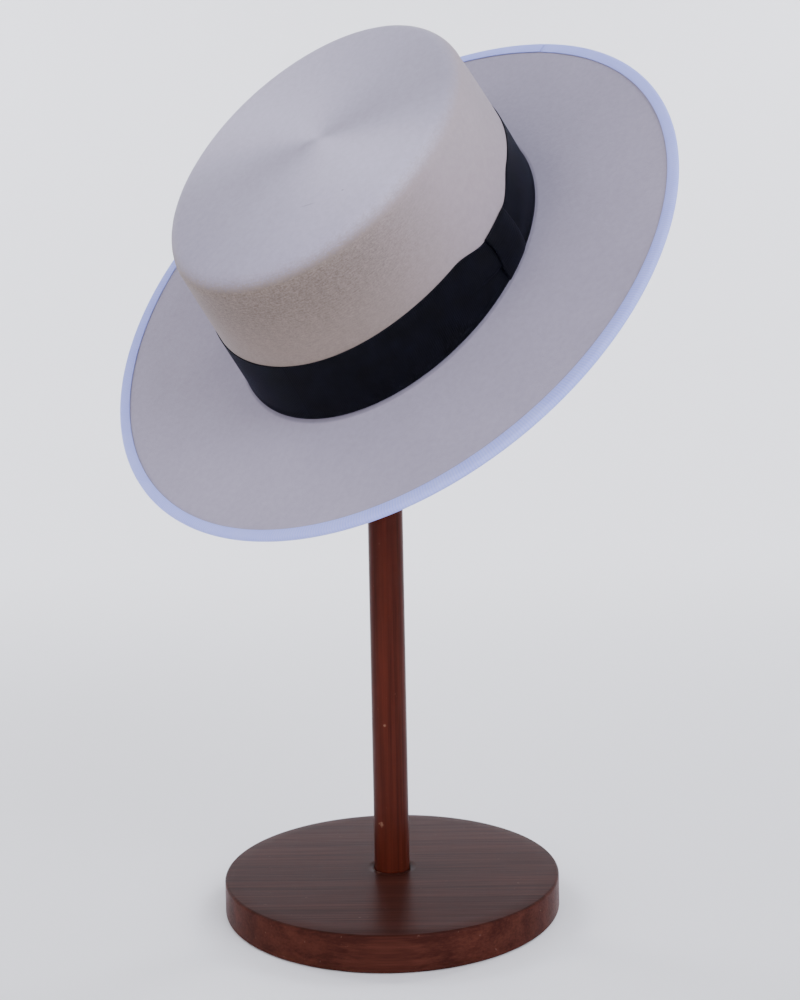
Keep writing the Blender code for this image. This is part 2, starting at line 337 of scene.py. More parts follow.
def feltMaterial():
    # Wool felt, steamed, ironed and brushed: matt, with a soft bright rim where the nap
    # stands against the light, and two pale and two dark fans of painted sheen on the brushed tip.
    look = feltLook
    made, tree, shader = newMaterial("brushedWoolFelt", {
        "Roughness": 0.95, "IOR": 1.45, "Specular IOR Level": 0.25,
        "Sheen Weight": 0.25, "Sheen Roughness": 0.40, "Sheen Tint": linear("#dfe0ee"),
    })
    where = addNode(tree, "TexCoord")
    inHat = addNode(tree, "Mapping", {"vector_type": "TEXTURE"},
                    {"Location": hatPlace.to_translation(), "Rotation": hatPlace.to_euler()},
                    {"Vector": where.outputs["Object"]})
    place = inHat.outputs["Vector"]
    axes = addNode(tree, "SeparateXYZ", links={"Vector": place})
    # painted sheen: swirl of the nap about the tip's middle, in slanted axes along its pale and dark
    # fans
    middle = Vector((*look["fanMiddle"], 0))
    bright = Vector((math.cos(look["brightFan"]), math.sin(look["brightFan"]), 0))
    dark = Vector((math.cos(look["darkFan"]), math.sin(look["darkFan"]), 0))
    cross = bright.x * dark.y - bright.y * dark.x
    offset = addNode(tree, "VectorMath", {"operation": "SUBTRACT"}, {1: middle}, {0: place})
    squares = []
    for axis in ((dark.y, -dark.x), (-bright.y, bright.x)):
        along = addNode(tree, "VectorMath", {"operation": "DOT_PRODUCT"},
                        {1: (axis[0] / cross, axis[1] / cross, 0)}, {0: offset.outputs["Vector"]})
        squares.append(addNode(tree, "Math", {"operation": "MULTIPLY"}, None,
                               {0: along.outputs["Value"], 1: along.outputs["Value"]}))
    difference = addNode(tree, "Math", {"operation": "SUBTRACT"}, None,
                         {0: squares[0].outputs[0], 1: squares[1].outputs[0]})
    total = addNode(tree, "Math", {"operation": "ADD"}, None,
                    {0: squares[0].outputs[0], 1: squares[1].outputs[0]})
    softTotal = addNode(tree, "Math", {"operation": "ADD"}, {1: look["fanSoftness"]},
                        {0: total.outputs[0]})
    swirl = addNode(tree, "Math", {"operation": "DIVIDE"}, None,
                    {0: difference.outputs[0], 1: softTotal.outputs[0]})
    # mottled nap
    tufts = addNode(tree, "TexNoise", None,
                    {"Scale": 1 / look["napSize"], "Detail": 3.0, "Roughness": 0.6}, {"Vector": place})
    mottle = addNode(tree, "TexNoise", None,
                     {"Scale": 1 / look["mottleSize"], "Detail": 3.0, "Roughness": 0.6},
                     {"Vector": place})
    cloud = addNode(tree, "TexNoise", None, {"Scale": look["cloudScale"], "Detail": 2.0},
                    {"Vector": place})
    # fibres that the brush has laid round the crown, unrolled from its front
    toFront = addNode(tree, "VectorMath", {"operation": "SCALE"}, {"Scale": -1.0}, {0: place})
    turned = addNode(tree, "SeparateXYZ", links={"Vector": toFront.outputs["Vector"]})
    around = addNode(tree, "Math", {"operation": "ARCTAN2"}, None,
                     {0: turned.outputs["Y"], 1: turned.outputs["X"]})
    unrolled = addNode(tree, "CombineXYZ", None, None,
                       {"X": around.outputs[0], "Y": axes.outputs["Z"]})
    length, width = look["fibre"]
    laid = addNode(tree, "Mapping", None,
                   {"Rotation": (0, 0, look["fibreSlope"]),
                    "Scale": (feltBlock["crownWidth"] / 2 / length, 1 / width, 1)},
                   {"Vector": unrolled.outputs["Vector"]})
    fibres = addNode(tree, "TexNoise", None, {"Scale": 1.0, "Detail": 3.0, "Roughness": 0.6},
                     {"Vector": laid.outputs["Vector"]})
    nap = addNode(tree, "Math", {"operation": "ADD"}, None,
                  {0: tufts.outputs["Fac"], 1: fibres.outputs["Fac"]})
    masks = {}
    for name, (axis, start, end, low, high) in look["turns"].items():
        mask = addNode(tree, "MapRange", {"interpolation_type": "SMOOTHSTEP"},
                       {"From Min": start, "From Max": end, "To Min": low, "To Max": high},
                       {"Value": axes.outputs[axis]})
        masks[name] = mask.outputs["Result"]
    # the shoulder's line wanders a little, as the nap does
    wander = addNode(tree, "Math", {"operation": "MULTIPLY_ADD"},
                     {1: look["wander"], 2: -look["wander"]}, {0: nap.outputs[0]})
    height = addNode(tree, "Math", {"operation": "ADD"}, None,
                     {0: axes.outputs["Z"], 1: wander.outputs[0]})
    onTip = addNode(tree, "MapRange", {"interpolation_type": "SMOOTHSTEP"},
                    {"From Min": look["tipFrom"][0], "From Max": look["tipFrom"][1]},
                    {"Value": height.outputs[0]})
    # brown flecks where hands take the crown, with painted shade of the nap's relief where the light
    # grazes it: its front, most of all close under the shoulder
    wallUnderShoulder = addNode(tree, "Math", {"operation": "MULTIPLY"}, None,
                          {0: masks["underShoulder"], 1: masks["wall"]})
    handledAndShadedNap = addNode(tree, "Math", {"operation": "MULTIPLY"}, None,
                      {0: masks["front"], 1: wallUnderShoulder.outputs[0]})
    fleckAmount = addNode(tree, "MapRange", None,
                          {"From Min": look["fleckRange"][0], "From Max": look["fleckRange"][1],
                           "To Min": look["fleckAmount"][0], "To Max": look["fleckAmount"][1]},
                          {"Value": nap.outputs[0]})
    flecks = addNode(tree, "Math", {"operation": "MULTIPLY"}, None,
                     {0: fleckAmount.outputs["Result"], 1: handledAndShadedNap.outputs[0]})
    # brim, crown's side, its flecks and the tip, laid over one another
    # the crown's front is darker than its side towards the light: painted shade, beside its warmer
    # handled tone
    sideColour = addNode(tree, "Mix", {"data_type": "RGBA"},
                         {6: linear(look["left"]), 7: linear(look["front"])}, {0: masks["front"]})
    lowBody = addNode(tree, "Mix", {"data_type": "RGBA"}, {6: linear(look["brim"])},
                      {0: masks["wall"], 7: sideColour.outputs[2]})
    flecked = addNode(tree, "Mix", {"data_type": "RGBA"}, {7: linear(look["fleck"])},
                      {0: flecks.outputs[0], 6: lowBody.outputs[2]})
    tipColour = addNode(tree, "Mix", {"data_type": "RGBA"},
                        {6: linear(look["tip"]), 7: linear(look["tipFront"])}, {0: masks["front"]})
    body = addNode(tree, "Mix", {"data_type": "RGBA"}, None,
                   {0: onTip.outputs["Result"], 6: flecked.outputs[2], 7: tipColour.outputs[2]})
    # shades that darken or lighten it, multiplied together
    # painted sheen: the tip's two bright fans lightened and its two dark fans darkened
    fans = addNode(tree, "Math", {"operation": "MULTIPLY"}, None,
                   {0: swirl.outputs[0], 1: onTip.outputs["Result"]})
    paintedSheenShade = addNode(tree, "Math", {"operation": "MULTIPLY_ADD"},
                       {1: look["paintedSheenSpread"], 2: 1.0}, {0: fans.outputs[0]})
    shades = [paintedSheenShade.outputs[0]]
    for pattern, spread in ((mottle, look["mottleSpread"]), (cloud, look["cloudSpread"])):
        uneven = addNode(tree, "MapRange", None,
                         {"From Min": noiseSpan[0], "From Max": noiseSpan[1],
                          "To Min": 1 - spread, "To Max": 1 + spread},
                         {"Value": pattern.outputs["Fac"]})
        shades.append(uneven.outputs["Result"])
    # the first mark is painted shade of the small dent at the tip's middle
    for middle, halfLength, halfWidth, heading, dark in look["marks"]:
        spot = addNode(tree, "Mapping", {"vector_type": "TEXTURE"},
                       {"Location": middle, "Rotation": (0, 0, heading),
                        "Scale": (halfLength, halfWidth, 0.01)}, {"Vector": place})
        blot = addNode(tree, "TexGradient", {"gradient_type": "SPHERICAL"}, None,
                       {"Vector": spot.outputs["Vector"]})
        markShade = addNode(tree, "Math", {"operation": "MULTIPLY_ADD"}, {1: -dark, 2: 1.0},
                            {0: blot.outputs["Fac"]})
        shades.append(markShade.outputs[0])
    # painted shadow: the turn at the crown's foot is darkened where the band meets it
    ringFrom, ringTo, ringShade = look["footRing"]
    oval = addNode(tree, "VectorMath", {"operation": "MULTIPLY"},
                   {1: (2 / feltBlock["crownLength"], 2 / feltBlock["crownWidth"], 0)}, {0: place})
    out = addNode(tree, "VectorMath", {"operation": "LENGTH"}, None, {0: oval.outputs["Vector"]})
    footShadowRing = addNode(tree, "MapRange", {"interpolation_type": "SMOOTHSTEP"},
                   {"From Min": ringFrom, "From Max": ringTo, "To Min": ringShade},
                   {"Value": out.outputs["Value"]})
    nearFoot = addNode(tree, "MapRange", None,
                       {"From Min": look["footRingTop"][0], "From Max": look["footRingTop"][1]},
                       {"Value": axes.outputs["Z"]})
    footShadowShade = addNode(tree, "Math", {"operation": "MAXIMUM"}, None,
                     {0: footShadowRing.outputs["Result"], 1: nearFoot.outputs["Result"]})
    # the painted shadow at the crown's foot, and the painted shade towards the back
    shades += [footShadowShade.outputs[0], masks["back"]]
    allShades = shades[0]
    for shade in shades[1:]:
        product = addNode(tree, "Math", {"operation": "MULTIPLY"}, None, {0: allShades, 1: shade})
        allShades = product.outputs[0]
    colour = addNode(tree, "VectorMath", {"operation": "SCALE"}, None,
                     {0: body.outputs[2], "Scale": allShades})
    tree.links.new(colour.outputs["Vector"], shader.inputs["Base Color"])
    relief = addNode(tree, "Math", {"operation": "ADD"}, None,
                     {0: tufts.outputs["Fac"], 1: mottle.outputs["Fac"]})
    bump = addNode(tree, "Bump", None, {"Strength": look["relief"], "Distance": look["reliefDepth"]},
                   {"Height": relief.outputs[0]})
    tree.links.new(bump.outputs["Normal"], shader.inputs["Normal"])
    return made


# what both ribbons share
weave = {
    "wornScale": 90.0, "wornRange": (0.35, 0.75),
    "ribRelief": 0.5,  # the ribs' part of the relief, beside the single threads
    "reliefDepth": 0.00018,
}


def ribbonMaterial(name, look):
    # Grosgrain: cross ribs from its thick weft, a faint lustre along them and a matt ground.
    made, tree, shader = newMaterial(name, look["shader"])
    unrolled = addNode(tree, "UVMap", {"uv_map": "ribbon"})
    axes = addNode(tree, "SeparateXYZ", links={"Vector": unrolled.outputs["UV"]})
    turns = addNode(tree, "Math", {"operation": "MULTIPLY"}, {1: math.tau / look["ribPitch"]},
                    {0: axes.outputs[look["ribAxis"]]})
    ribs = addNode(tree, "Math", {"operation": "SINE"}, None, {0: turns.outputs[0]})
    thread = addNode(tree, "Mapping", None, {"Scale": look["threadScale"]},
                     {"Vector": unrolled.outputs["UV"]})
    threads = addNode(tree, "TexNoise", None, {"Scale": 1.0, "Detail": 3.0, "Roughness": 0.6},
                      {"Vector": thread.outputs["Vector"]})
    worn = addNode(tree, "TexNoise", None, {"Scale": weave["wornScale"], "Detail": 3.0},
                   {"Vector": unrolled.outputs["UV"]})
    ribShade = addNode(tree, "MapRange", None,
                       {"From Min": -1.0, "To Min": 0.0, "To Max": look["ribShade"]},
                       {"Value": ribs.outputs[0]})
    wornShade = addNode(tree, "MapRange", None,
                        {"From Min": weave["wornRange"][0], "From Max": weave["wornRange"][1],
                         "To Max": look["wornShade"]},
                        {"Value": worn.outputs["Fac"]})
    both = addNode(tree, "Math", {"operation": "ADD", "use_clamp": True}, None,
                   {0: ribShade.outputs["Result"], 1: wornShade.outputs["Result"]})
    colour = addNode(tree, "Mix", {"data_type": "RGBA"},
                     {6: linear(look["ground"]), 7: linear(look["crest"])}, {0: both.outputs[0]})
    tree.links.new(colour.outputs[2], shader.inputs["Base Color"])
    ribRelief = addNode(tree, "Math", {"operation": "MULTIPLY"}, {1: weave["ribRelief"]},
                        {0: ribs.outputs[0]})
    relief = addNode(tree, "Math", {"operation": "ADD"}, None,
                     {0: ribRelief.outputs[0], 1: threads.outputs["Fac"]})
    bump = addNode(tree, "Bump", None, {"Strength": look["relief"], "Distance": weave["reliefDepth"]},
                   {"Height": relief.outputs[0]})
    tree.links.new(bump.outputs["Normal"], shader.inputs["Normal"])
    return made


bandLook = {
    "ground": "#070709", "crest": "#0e0f1a",
    "ribPitch": 0.0011,  # real ribs are about 0.7 mm apart, drawn a little coarser
    "ribAxis": "X", "threadScale": (2400, 320, 1), "ribShade": 0.35, "wornShade": 0.5,
    "relief": 0.3,
    "shader": {"Roughness": 0.6, "IOR": 1.5, "Specular IOR Level": 0.07, "Sheen Weight": 0.04,
               "Sheen Roughness": 0.4, "Sheen Tint": linear("#5f6cc0")},
}

bindingLook = {
    "ground": "#9ca6fb", "crest": "#b6bfff",
    "ribPitch": 0.0014,
    "ribAxis": "X", "threadScale": (1500, 300, 1), "ribShade": 0.6, "wornShade": 0.3,
    "relief": 0.25,
    "shader": {"Roughness": 0.8, "IOR": 1.5, "Specular IOR Level": 0.3, "Sheen Weight": 0.45,
               "Sheen Roughness": 0.5, "Sheen Tint": linear("#a9b6ff")},
}

baseLook = {
    "dark": "#351a15", "light": "#4c2820", "dust": "#75594f",
    "grainLength": 0.060, "grainWidth": 0.0011,
    "grainTurn": (0, 0, math.radians(2)),
    "specular": 0.02,
    "topFrom": 0.0172, "topShade": 0.62,  # its flat top is darker than its rim
    # a pale spot by the socket, in bare wood's colour: its middle and radius
    "bare": (((-0.0062, -0.0080, 0.0179), 0.0022),),
}

postLook = {
    "dark": "#34120b", "light": "#502015", "dust": "#6f4638",
    "grainLength": 0.070, "grainWidth": 0.0015,
    "grainTurn": (0, math.radians(90), 0),
    "specular": 0.08,
    "topFrom": 0.4600, "topShade": 1.0,
    "bare": (((-0.0053, -0.0079, 0.0436), 0.0013), ((-0.0028, -0.0091, 0.0975), 0.0009)),
}

# what base and post share
stain = {
    "bare": "#74503f",
    "range": (0.75, 1.25),   # of the grain's noises, from its dark to its light
    "bandScale": 0.16,       # slow bands, this share of the grain's own pitch
    "speckScale": 420.0, "speckRange": (0.72, 0.82), "speckMost": 0.5,
    "roughness": (0.38, 0.29),
    "edge": 0.0007,          # the darker top turns into the rim over this height
    "chipRagged": 3.2, "chipEdge": (2.75, 2.15),  # in radii of the chip
    "relief": 0.25, "reliefDepth": 0.0002,
}


def woodMaterial(name, look):
    # Close-grained hardwood in a red mahogany stain under a worn, thin satin varnish: long
    # fine pores, darker where the stain gathered, with pale scuffs and only a faint shine.
    made, tree, shader = newMaterial(name, {"IOR": 1.5, "Specular IOR Level": look["specular"]})
    where = addNode(tree, "TexCoord")
    turned = addNode(tree, "Mapping", None, {"Rotation": look["grainTurn"]},
                     {"Vector": where.outputs["Object"]})
    along, across = 1 / look["grainLength"], 1 / look["grainWidth"]
    stretched = addNode(tree, "Mapping", None, {"Scale": (along, across, across)},
                        {"Vector": turned.outputs["Vector"]})
    grain = addNode(tree, "TexNoise", None, {"Scale": 1.0, "Detail": 4.0, "Roughness": 0.65},
                    {"Vector": stretched.outputs["Vector"]})
    broad = addNode(tree, "TexNoise", None,
                    {"Scale": stain["bandScale"], "Detail": 3.0, "Distortion": 0.4},
                    {"Vector": stretched.outputs["Vector"]})
    blend = addNode(tree, "Math", {"operation": "ADD"}, None,
                    {0: grain.outputs["Fac"], 1: broad.outputs["Fac"]})
    amount = addNode(tree, "MapRange", None,
                     {"From Min": stain["range"][0], "From Max": stain["range"][1]},
                     {"Value": blend.outputs[0]})
    colour = addNode(tree, "Mix", {"data_type": "RGBA"},
                     {6: linear(look["dark"]), 7: linear(look["light"])},
                     {0: amount.outputs["Result"]})
    specks = addNode(tree, "TexNoise", None, {"Scale": stain["speckScale"], "Detail": 2.0},
                     {"Vector": where.outputs["Object"]})
    speckAmount = addNode(tree, "MapRange", None,
                          {"From Min": stain["speckRange"][0], "From Max": stain["speckRange"][1],
                           "To Max": stain["speckMost"]}, {"Value": specks.outputs["Fac"]})
    speckled = addNode(tree, "Mix", {"data_type": "RGBA"}, {7: linear(look["dust"])},
                       {0: speckAmount.outputs["Result"], 6: colour.outputs[2]})
    surface = speckled.outputs[2]
    # spots of bare wood's colour, their edges made ragged by the specks' noise: chips on the post, and
    # a pale spot by the base's socket
    for middle, radius in look["bare"]:
        away = addNode(tree, "VectorMath", {"operation": "DISTANCE"}, {1: middle},
                       {0: where.outputs["Object"]})
        ragged = addNode(tree, "Math", {"operation": "MULTIPLY_ADD"},
                         {1: radius * stain["chipRagged"]},
                         {0: specks.outputs["Fac"], 2: away.outputs["Value"]})
        chip = addNode(tree, "MapRange", None,
                       {"From Min": radius * stain["chipEdge"][0],
                        "From Max": radius * stain["chipEdge"][1]}, {"Value": ragged.outputs[0]})
        chipped = addNode(tree, "Mix", {"data_type": "RGBA"}, {7: linear(stain["bare"])},
                          {0: chip.outputs["Result"], 6: surface})
        surface = chipped.outputs[2]
    axes = addNode(tree, "SeparateXYZ", links={"Vector": where.outputs["Object"]})
    shade = addNode(tree, "MapRange", None,
                    {"From Min": look["topFrom"], "From Max": look["topFrom"] + stain["edge"],
                     "To Min": 1.0, "To Max": look["topShade"]}, {"Value": axes.outputs["Z"]})
    toned = addNode(tree, "VectorMath", {"operation": "SCALE"}, None,
                    {0: surface, "Scale": shade.outputs["Result"]})
    tree.links.new(toned.outputs["Vector"], shader.inputs["Base Color"])
    rough = addNode(tree, "MapRange", None,
                    {"From Min": noiseSpan[0], "From Max": noiseSpan[1],
                     "To Min": stain["roughness"][0], "To Max": stain["roughness"][1]},
                    {"Value": grain.outputs["Fac"]})
    tree.links.new(rough.outputs["Result"], shader.inputs["Roughness"])
    bump = addNode(tree, "Bump", None, {"Strength": stain["relief"], "Distance": stain["reliefDepth"]},
                   {"Height": grain.outputs["Fac"]})
    tree.links.new(bump.outputs["Normal"], shader.inputs["Normal"])
    return made


# building the pieces

def spun(profile, stations):
    # a section in the XZ plane swept once round Z
    shape = bmesh.new()
    verts = [shape.verts.new((out, 0, height)) for out, height in profile]
    edges = [shape.edges.new(pair) for pair in zip(verts, verts[1:])]
    bmesh.ops.spin(shape, geom=verts + edges, cent=(0, 0, 0), axis=(0, 0, 1),
                   angle=math.tau, steps=stations, use_merge=True)
    bmesh.ops.remove_doubles(shape, verts=shape.verts, dist=0.000001)
    bmesh.ops.recalc_face_normals(shape, faces=shape.faces)
    return shape


def arc(middle, radius, start, end, rows):
    # angles in degrees from +X towards +Z
    points = []
    for row in range(rows + 1):
        bend = math.radians(start + (end - start) * row / rows)
        points.append((middle[0] + radius * math.cos(bend), middle[1] + radius * math.sin(bend)))
    return points


def faceOut(shape, outward):
    # turns the faces if they don't point the way that outward(middle) says
    shape.normal_update()
    tally = sum(1 if face.normal.dot(outward(face.calc_center_median())) > 0 else -1
                for face in shape.faces)
    if tally < 0:
        bmesh.ops.reverse_faces(shape, faces=shape.faces)


def makePiece(name, shape, finish, node):
    mesh = bpy.data.meshes.new(name)
    shape.to_mesh(mesh)
    shape.free()
    mesh.materials.append(finish)
    mesh.shade_smooth()
    piece = bpy.data.objects.new(name, mesh)
    bpy.context.scene.collection.objects.link(piece)
    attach(piece, "root")
    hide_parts(node)
    return piece


def giveWall(piece, thickness, offset):
    wall = piece.modifiers.new("wall", "SOLIDIFY")
    wall.thickness = thickness
    wall.offset = offset
    wall.use_even_offset = True
    wall.use_quality_normals = True
    return wall


def buildFelt(finish):
    block = feltBlock
    bend, shoulder, height = block["breakRadius"], block["shoulderRadius"], block["crownHeight"]
    wallTop = height - shoulder
    flat = [half - shoulder for half in crownHalves(wallTop)]
    profile = []
    for step in range(block["tipRows"] + 1):
        share = step / block["tipRows"]
        profile.append((flat[0] * share, height + block["tipDome"] * (1 - share * share)))
    profile += arc((flat[0], wallTop), shoulder, 90, 0, block["shoulderRows"])[1:]
    for step in range(1, block["wallRows"] + 1):
        z = wallTop + (bend - wallTop) * step / block["wallRows"]
        profile.append((crownHalves(z)[0], z))
    brimRoot, brimEdge = crownHalves(bend)[0] + bend, edgeHalves()[0]
    profile += arc((brimRoot, bend), bend, 180, 270, block["breakRows"])[1:]
    profile += [(brimRoot + (brimEdge - brimRoot) * step / block["brimRows"], 0)
                for step in range(1, block["brimRows"] + 1)]
    shape = spun(profile, block["stations"])
    # the round blank is pushed out to the oval of the head, and the brim to its own oval
    tiny = 0.0000001
    for vert in shape.verts:
        reach = math.hypot(vert.co.x, vert.co.y)
        angle = math.atan2(vert.co.y, vert.co.x)
        z = vert.co.z
        if z < tiny and reach > brimRoot + tiny * 10:
            way = (reach - brimRoot) / (brimEdge - brimRoot)
            vert.co = brimPoint(angle, way=way)
            nearRoot, nearEdge = block["brimFade"]
            mid = smoothStep(way / nearRoot) * smoothStep((1 - way) / nearEdge)
            vert.co.z += settled(vert.co, block["settleOnBrim"] * mid)
        elif z >= wallTop - tiny:
            if reach <= flat[0]:
                halves = (reach, reach * flat[1] / flat[0])
                vert.co = ovalPoint(halves, angle, z)
                mid = smoothStep((flat[0] - reach) / (flat[0] * block["tipFade"]))
                vert.co.z += settled(vert.co, block["settleOnTip"] * mid)
            else:
                vert.co = ovalPoint((reach, flat[1] + reach - flat[0]), angle, z)
        else:
            halves = crownHalves(max(z, bend))
            vert.co = ovalPoint((reach, halves[1] + reach - halves[0]), angle, z)
    faceOut(shape, lambda middle: Vector((0, 0, 1)))
    shape.transform(hatPlace)
    piece = makePiece("feltHat", shape, finish, "felt_body")
    giveWall(piece, block["wall"], -1)
    return piece


def fromKnot(angle):
    # length along the hat from the knot's middle, back positive; endless on the right side
    if math.sin(angle) > 0:
        return math.inf
    return crownHalves(ribbonBand["foot"])[0] * math.cos(angle) + ribbonKnot["forward"]


def gather(angle):
    beyond = abs(fromKnot(angle)) - ribbonKnot["width"] / 2
    return 1 - smoothStep(beyond / ribbonBand["gatherReach"])


def bandFoot(angle):
    return ribbonBand["foot"] + ribbonBand["gatherLift"] * gather(angle)


def bandTop(angle):
    turn = math.remainder(angle - ribbonBand["dipAngle"], math.tau) / ribbonBand["dipSpan"]
    return (ribbonBand["top"] - ribbonBand["gatherDrop"] * gather(angle)
            - ribbonBand["dip"] * math.exp(-turn * turn))


def foldOut(angle, share):
    # how far the ribbon stands out beside the knot: in front a crease folded over the
    # lower half, behind it a softer ridge
    beyond = fromKnot(angle)
    if beyond == math.inf:
        return 0.0
    inKnot = abs(beyond) < ribbonKnot["width"] / 2
    reach = ribbonBand["pleatToBack"] if beyond > 0 else ribbonBand["pleatToFront"]
    fade = 1 - smoothStep((abs(beyond) - ribbonKnot["width"] / 2) / reach)
    if beyond > 0 or inKnot:
        ridge = math.exp(-((share - ribbonBand["ridgeLine"]) / ribbonBand["ridgeSpread"]) ** 2)
        flat = ribbonBand["flatEdge"]
        edges = smoothStep(share / flat) * smoothStep((1 - share) / flat)
        return ribbonBand["ridgeHeight"] * fade * ridge * edges
    line = ribbonBand["creaseLine"] + ribbonBand["creaseDrift"] * (1 - fade)
    under = ribbonBand["creaseUnder"]
    above = smoothStep((1 - share) / (1 - line)) if share >= line else 1.0
    below = smoothStep((share - line + under) / under) if share < line else 1.0
    return ribbonBand["creaseHeight"] * fade * above * below


def ovalRun(halves, stations=720):
    # running length round an oval, from angle 0
    run, last = [0.0], ovalPoint(halves, 0, 0)
    for step in range(1, stations + 1):
        point = ovalPoint(halves, math.tau * step / stations, 0)
        run.append(run[-1] + (point - last).length)
        last = point
    return run


def runAt(run, angle):
    place = angle / math.tau * (len(run) - 1)
    laps = math.floor(place / (len(run) - 1))
    place -= laps * (len(run) - 1)
    step = min(int(place), len(run) - 2)
    return laps * run[-1] + run[step] + (run[step + 1] - run[step]) * (place - step)


def bandPoint(angle, share):
    foot = bandFoot(angle)
    z = foot + (bandTop(angle) - foot) * share
    flare = ribbonBand["footFlare"] * (1 - smoothStep(share / ribbonBand["flareShare"]))
    standoff = ribbonBand["gap"] + flare + foldOut(angle, share)
    return ovalPoint(crownHalves(z, standoff), angle, z)


def buildBand(finish):
    rows = ribbonBand["rows"]
    shape = spun([(1, 1 - row / rows) for row in range(rows + 1)], ribbonBand["stations"])
    unrolled = shape.loops.layers.uv.new("ribbon")
    run = ovalRun(crownHalves(ribbonBand["foot"]))
    for face in shape.faces:
        middle = face.calc_center_median()
        faceAngle = math.atan2(middle.y, middle.x)
        for loop in face.loops:
            angle = math.atan2(loop.vert.co.y, loop.vert.co.x)
            angle += math.tau * round((faceAngle - angle) / math.tau)
            loop[unrolled].uv = (runAt(run, angle), loop.vert.co.z * ribbonBand["top"])
    for vert in shape.verts:
        vert.co = bandPoint(math.atan2(vert.co.y, vert.co.x), vert.co.z)
    faceOut(shape, lambda middle: Vector((middle.x, middle.y, 0)))
    shape.transform(hatPlace)
    piece = makePiece("grosgrainBand", shape, finish, "hat_band")
    giveWall(piece, ribbonBand["wall"], 1)
    return piece


def grid(columns, rows):
    # a unit sheet, from 0 to 1 each way
    shape = bmesh.new()
    bmesh.ops.create_grid(shape, x_segments=columns, y_segments=rows, size=0.5)
    bmesh.ops.translate(shape, verts=shape.verts, vec=(0.5, 0.5, 0))
    return shape


def buildKnot(finish):
    wrap = ribbonKnot["wrap"]
    shape = grid(ribbonKnot["columns"], len(wrap) - 1)
    shares = [vert.co.x for vert in shape.verts]
    unrolled = shape.loops.layers.uv.new("ribbon")
    for face in shape.faces:
        for loop in face.loops:
            across = loop.vert.co.x * ribbonKnot["width"]
            loop[unrolled].uv = (loop.vert.co.y * ribbonKnot["length"], across)
    front = ribbonBand["gap"] + ribbonBand["wall"] + ribbonKnot["over"]
    for vert in shape.verts:
        share = vert.co.x
        heightShare, out, puff = wrap[round(vert.co.y * (len(wrap) - 1))]
        slant = ribbonKnot["slant"] * (1 - 2 * heightShare)
        slant -= ribbonKnot["sway"] * (1 - share) * math.sin(math.tau * heightShare)
        along = ribbonKnot["width"] * (share - 0.5) - ribbonKnot["forward"] + slant
        angle = -math.acos(along / crownHalves(ribbonBand["foot"])[0])
        foot, top = bandFoot(angle) - fitGap, bandTop(angle) + fitGap
        z = foot + (top - foot) * heightShare
        crest = ribbonBand["ridgeHeight"] + ribbonKnot["puff"] * math.sin(math.pi * share) ** 0.7
        standoff = ribbonKnot["root"] + (front - ribbonKnot["root"]) * out + crest * puff
        vert.co = ovalPoint(crownHalves(z, standoff), angle, z)
    faceOut(shape, lambda middle: Vector((middle.x, middle.y, 0)))
    shape.transform(hatPlace)
    piece = makePiece("grosgrainKnot", shape, finish, "band_knot")
    wall = giveWall(piece, ribbonBand["wall"], 1)
    full = piece.vertex_groups.new(name="full")
    start = ribbonKnot["thinnedFrom"]
    for index, share in enumerate(shares):
        thinned = smoothStep((share - start) / (1 - start))
        full.add([index], 1 - (1 - ribbonKnot["thinnedBack"]) * thinned, "REPLACE")
    wall.vertex_group = full.name
    return piece


def bindingSection():
    # rows of the folded ribbon: share of its reach inward, length outward, lift from the
    # felt's middle, share of its puff
    fold = feltBlock["wall"] / 2 + fitGap
    pressedFrom, foldRows = brimBinding["pressedFrom"], brimBinding["foldRows"]
    upper = []
    for share in brimBinding["rows"]:
        press = smoothStep((share - pressedFrom) / (1 - pressedFrom))
        lift = fold - (fitGap - brimBinding["pressed"]) * press
        upper.append((share, 0.0, lift, math.sin(math.pi * (1 - share)) ** 0.8))
    bends = [math.pi * step / foldRows for step in range(1, foldRows)]
    turn = [(0.0, fold * math.sin(bend), fold * math.cos(bend), 0.0) for bend in bends]
    lower = [(share, outward, -lift, puff) for share, outward, lift, puff in reversed(upper)]
    return upper + turn + lower


def buildBinding(finish):
    section = bindingSection()
    stations = brimBinding["stations"]
    shape = grid(stations, len(section) - 1)
    unrolled = shape.loops.layers.uv.new("ribbon")
    run = ovalRun(edgeHalves())
    gapAngle = brimBinding["joinGap"] / edgeHalves()[0]
    start = brimBinding["joinAngle"] + gapAngle / 2
    sweep = math.tau - gapAngle
    for face in shape.faces:
        for loop in face.loops:
            angle = start + sweep * loop.vert.co.x
            loop[unrolled].uv = (runAt(run, angle), loop.vert.co.y * brimBinding["flatWidth"])
    middle = -feltBlock["wall"] / 2
    for vert in shape.verts:
        share = vert.co.x
        angle = start + sweep * share
        inShare, outward, lift, puff = section[round(vert.co.y * (len(section) - 1))]
        swing, waves, turn = brimBinding["reachWave"]
        reach = brimBinding["reach"] + swing * math.cos(waves * (angle + turn))
        toEnd = min(share, 1 - share) * run[-1]
        tuck = 1 - smoothStep(toEnd / brimBinding["tuckSpan"])
        inward = (reach - tuck * brimBinding["tuck"]) * inShare - outward
        rise = brimBinding["puff"] * puff * (1 - tuck) * (1 if lift > 0 else -1)
        vert.co = brimPoint(angle, inward, middle + lift + rise)
    faceOut(shape, hatRadial)
    shape.transform(hatPlace)
    piece = makePiece("brimBinding", shape, finish, "edge_binding")
    giveWall(piece, brimBinding["wall"], 1)
    return piece


def hatRadial(point):
    # outward from the core of the brim's rolled edge
    core = feltEdge(math.atan2(point.y, point.x)) * 0.96
    return Vector((point.x - core.x, point.y - core.y, (point.z - core.z) * 3))


